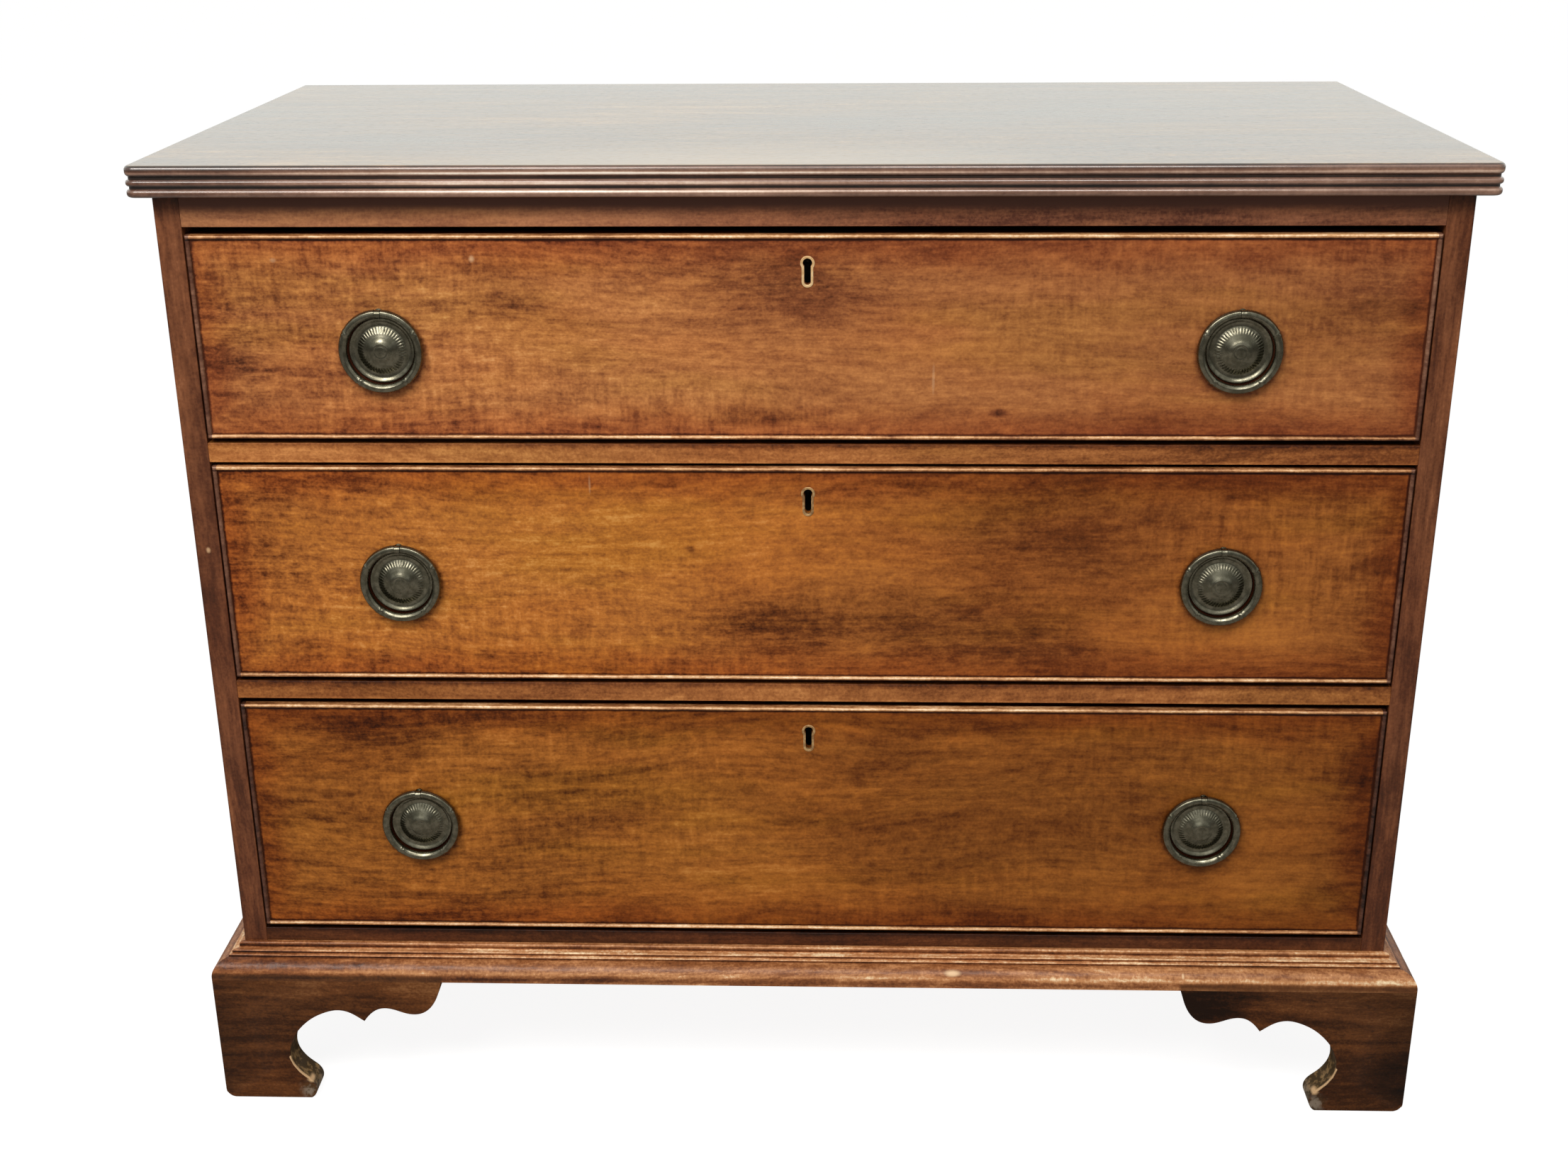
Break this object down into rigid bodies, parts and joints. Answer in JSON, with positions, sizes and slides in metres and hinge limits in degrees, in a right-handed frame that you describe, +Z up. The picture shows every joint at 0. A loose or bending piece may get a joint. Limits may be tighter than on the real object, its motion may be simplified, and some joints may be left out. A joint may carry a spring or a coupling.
{
  "type": "chest of drawers",
  "caption": "Low wooden chest with full-width drawers that slide out, ring handles, keyhole locks, a reeded top and shaped bracket feet.",
  "frame": {"origin": "centre of the footprint (centre of the bounding box in plan) on the floor", "axes": "+X to the viewer's right along the chest's width, -Y out of the front where the drawers open, +Z up"},
  "size_m": [1.05, 0.528, 0.8281],
  "materials": {
    "top_mahogany": "polished, even reddish brown, glossy",
    "side_mahogany": "polished, vertical grain",
    "rail_mahogany": "polished, horizontal grain",
    "drawer_front_mahogany": "polished, warm orange brown with horizontal figure",
    "bead_mahogany": "polished, worn bright along the edge",
    "moulding_mahogany": "polished, worn on the high parts",
    "foot_mahogany": "worn polish, bare wood at the toes",
    "lining_oak": "dry, unpolished",
    "carcase_pine": "dry, unpolished, darkened",
    "escutcheon_brass": "rubbed bright",
    "handle_brass": "old dark patina, bright on the high parts",
    "lock_brass": "dull",
    "lock_iron": "dull"
  },
  "bodies": {
    "carcase": {"back_boards": "carcase_pine", "base_moulding_ends": "moulding_mahogany", "base_moulding_front": "moulding_mahogany", "bottom_rail": "rail_mahogany", "drawer_kickers": "carcase_pine", "drawer_runners": "carcase_pine", "drawer_stops": "carcase_pine", "dust_boards": "carcase_pine", "foot_front_left": "foot_mahogany", "foot_front_right": "foot_mahogany", "foot_rear_left": "foot_mahogany", "foot_rear_right": "foot_mahogany", "frieze_rail": "rail_mahogany", "glue_blocks": "carcase_pine", "lower_drawer_rail": "rail_mahogany", "plinth_rails": "carcase_pine", "side_left": "side_mahogany", "side_right": "side_mahogany", "top_back_rail": "carcase_pine", "top_board": "top_mahogany", "upper_drawer_rail": "rail_mahogany"},
    "drawer_3": {"drawer_3_back": "lining_oak", "drawer_3_bottom": "lining_oak", "drawer_3_cock_beads": "bead_mahogany", "drawer_3_escutcheon": "escutcheon_brass", "drawer_3_front": "drawer_front_mahogany", "drawer_3_handle_plates": "handle_brass", "drawer_3_handle_posts": "handle_brass", "drawer_3_lock_case": "lock_brass", "drawer_3_side_left": "lining_oak", "drawer_3_side_right": "lining_oak"},
    "drawer_3_lock_bolt": {"drawer_3_lock_bolt": "lock_iron"},
    "drawer_3_ring_left": {"drawer_3_ring_left": "handle_brass"},
    "drawer_3_ring_right": {"drawer_3_ring_right": "handle_brass"},
    "drawer_2": {"drawer_2_back": "lining_oak", "drawer_2_bottom": "lining_oak", "drawer_2_cock_beads": "bead_mahogany", "drawer_2_escutcheon": "escutcheon_brass", "drawer_2_front": "drawer_front_mahogany", "drawer_2_handle_plates": "handle_brass", "drawer_2_handle_posts": "handle_brass", "drawer_2_lock_case": "lock_brass", "drawer_2_side_left": "lining_oak", "drawer_2_side_right": "lining_oak"},
    "drawer_2_lock_bolt": {"drawer_2_lock_bolt": "lock_iron"},
    "drawer_2_ring_left": {"drawer_2_ring_left": "handle_brass"},
    "drawer_2_ring_right": {"drawer_2_ring_right": "handle_brass"},
    "drawer_1": {"drawer_1_back": "lining_oak", "drawer_1_bottom": "lining_oak", "drawer_1_cock_beads": "bead_mahogany", "drawer_1_escutcheon": "escutcheon_brass", "drawer_1_front": "drawer_front_mahogany", "drawer_1_handle_plates": "handle_brass", "drawer_1_handle_posts": "handle_brass", "drawer_1_lock_case": "lock_brass", "drawer_1_side_left": "lining_oak", "drawer_1_side_right": "lining_oak"},
    "drawer_1_lock_bolt": {"drawer_1_lock_bolt": "lock_iron"},
    "drawer_1_ring_left": {"drawer_1_ring_left": "handle_brass"},
    "drawer_1_ring_right": {"drawer_1_ring_right": "handle_brass"}
  },
  "joints": [
    {"name": "drawer_3_slide", "type": "slide", "parent": "carcase", "child": "drawer_3", "axis": [0, -1, 0], "range_m": [0, 0.36]},
    {"name": "drawer_3_ring_left_swing", "type": "hinge", "parent": "drawer_3", "child": "drawer_3_ring_left", "pos_m": [-0.333, -0.2446, 0.2966], "axis": [-1, 0, 0], "range_deg": [0, 175]},
    {"name": "drawer_3_ring_right_swing", "type": "hinge", "parent": "drawer_3", "child": "drawer_3_ring_right", "pos_m": [0.333, -0.2446, 0.2966], "axis": [-1, 0, 0], "range_deg": [0, 175]},
    {"name": "drawer_3_bolt_throw", "type": "slide", "parent": "drawer_3", "child": "drawer_3_lock_bolt", "axis": [0, 0, 1], "range_m": [0, 0.009]},
    {"name": "drawer_2_slide", "type": "slide", "parent": "carcase", "child": "drawer_2", "axis": [0, -1, 0], "range_m": [0, 0.36]},
    {"name": "drawer_2_ring_left_swing", "type": "hinge", "parent": "drawer_2", "child": "drawer_2_ring_left", "pos_m": [-0.333, -0.2446, 0.5191], "axis": [-1, 0, 0], "range_deg": [0, 175]},
    {"name": "drawer_2_ring_right_swing", "type": "hinge", "parent": "drawer_2", "child": "drawer_2_ring_right", "pos_m": [0.333, -0.2446, 0.5191], "axis": [-1, 0, 0], "range_deg": [0, 175]},
    {"name": "drawer_2_bolt_throw", "type": "slide", "parent": "drawer_2", "child": "drawer_2_lock_bolt", "axis": [0, 0, 1], "range_m": [0, 0.009]},
    {"name": "drawer_1_slide", "type": "slide", "parent": "carcase", "child": "drawer_1", "axis": [0, -1, 0], "range_m": [0, 0.36]},
    {"name": "drawer_1_ring_left_swing", "type": "hinge", "parent": "drawer_1", "child": "drawer_1_ring_left", "pos_m": [-0.333, -0.2446, 0.7131], "axis": [-1, 0, 0], "range_deg": [0, 175]},
    {"name": "drawer_1_ring_right_swing", "type": "hinge", "parent": "drawer_1", "child": "drawer_1_ring_right", "pos_m": [0.333, -0.2446, 0.7131], "axis": [-1, 0, 0], "range_deg": [0, 175]},
    {"name": "drawer_1_bolt_throw", "type": "slide", "parent": "drawer_1", "child": "drawer_1_lock_bolt", "axis": [0, 0, 1], "range_m": [0, 0.009]}
  ]
}
